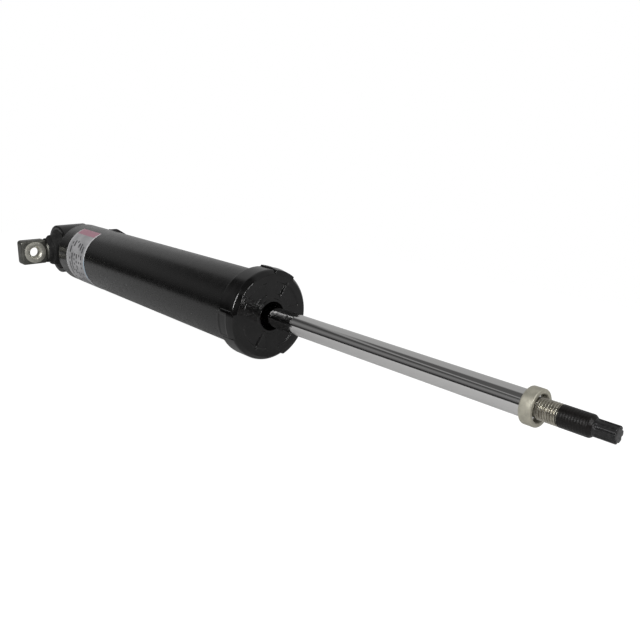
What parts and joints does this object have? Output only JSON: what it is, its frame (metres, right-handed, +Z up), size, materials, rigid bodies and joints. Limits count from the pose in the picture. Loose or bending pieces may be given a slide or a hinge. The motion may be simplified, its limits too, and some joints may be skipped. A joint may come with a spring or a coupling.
{
  "type": "telescopic shock absorber",
  "caption": "Twin-tube telescopic damper: black tube with a cross-bolted rubber-bushed eye, striker cap, chromed rod and threaded stud with a fluted tip.",
  "frame": {"origin": "centre of the eye ring and of its bar pin, midway between the two bolt holes", "axes": "+X along the damper towards the stud's tip, +Z up with the damper lying flat, Y along the bar pin"},
  "size_m": [0.536, 0.094, 0.057],
  "materials": {
    "black_paint": "semi-gloss black enamel",
    "weld_bead": "rippled weld bead under black enamel",
    "bush_rubber": "matt moulded rubber",
    "dark_steel": "dark zinc-phosphated forged steel",
    "label_foil": "grey film label with plain bars",
    "cap_plastic": "glossy moulded black nylon",
    "bare_steel": "bare drawn steel",
    "sintered_iron": "sintered iron, fine grain",
    "zinc_steel": "zinc plated, dull greenish grey",
    "spring_steel": "bright spring steel",
    "bush_bronze": "PTFE-lined bronze",
    "seal_rubber": "matt nitrile rubber",
    "rod_chrome": "hard chrome, ground and polished",
    "band_ptfe": "filled PTFE"
  },
  "bodies": {
    "tube_body": {"reserve_tube": "black_paint", "base_cap": "black_paint", "eye_ring": "black_paint", "eye_weld": "weld_bead", "rubber_bushing": "bush_rubber", "side_tab": "black_paint", "label": "label_foil", "striker_cap": "cap_plastic", "pressure_tube": "bare_steel", "base_valve_body": "sintered_iron", "base_valve_bolt": "zinc_steel", "base_valve_nut": "zinc_steel", "base_comp_discs": "spring_steel", "base_check_spring": "spring_steel", "rod_guide": "sintered_iron", "guide_bush": "bush_bronze", "guide_o_ring": "seal_rubber", "oil_seal": "seal_rubber", "garter_spring": "spring_steel", "seal_cover": "bare_steel"},
    "bar_pin_body": {"bar_pin": "dark_steel"},
    "band_body": {"piston_band": "band_ptfe"},
    "rod_body": {"piston_rod": "rod_chrome", "rod_collar": "zinc_steel", "rebound_stop": "bare_steel", "rebound_bumper": "seal_rubber", "piston": "sintered_iron", "rebound_discs": "spring_steel", "piston_check_spring": "spring_steel", "piston_stop_washer": "zinc_steel", "piston_nut": "zinc_steel"},
    "piston_valve_body": {"piston_check_plate": "spring_steel"},
    "foot_valve_body": {"base_check_plate": "spring_steel"}
  },
  "joints": [
    {"name": "rod_slide", "type": "slide", "parent": "tube_body", "child": "band_body", "axis": [1, 0, 0], "range_m": [-0.155, 0]},
    {"name": "rod_spin", "type": "hinge", "parent": "band_body", "child": "rod_body", "pos_m": [0.232, 0, 0], "axis": [1, 0, 0], "continuous": true},
    {"name": "bar_pin_twist", "type": "hinge", "parent": "tube_body", "child": "bar_pin_body", "pos_m": [0, 0, 0], "axis": [0, 1, 0], "range_deg": [-20, 20], "stiffness_Nm_per_rad": 2},
    {"name": "piston_valve_lift", "type": "slide", "parent": "rod_body", "child": "piston_valve_body", "axis": [1, 0, 0], "range_m": [0, 0.0008], "stiffness_N_per_m": 150, "springref_m": -0.004, "deforming": ["piston_check_spring"]},
    {"name": "foot_valve_lift", "type": "slide", "parent": "tube_body", "child": "foot_valve_body", "axis": [1, 0, 0], "range_m": [0, 0.0008], "stiffness_N_per_m": 150, "springref_m": -0.004, "deforming": ["base_check_spring"]}
  ]
}
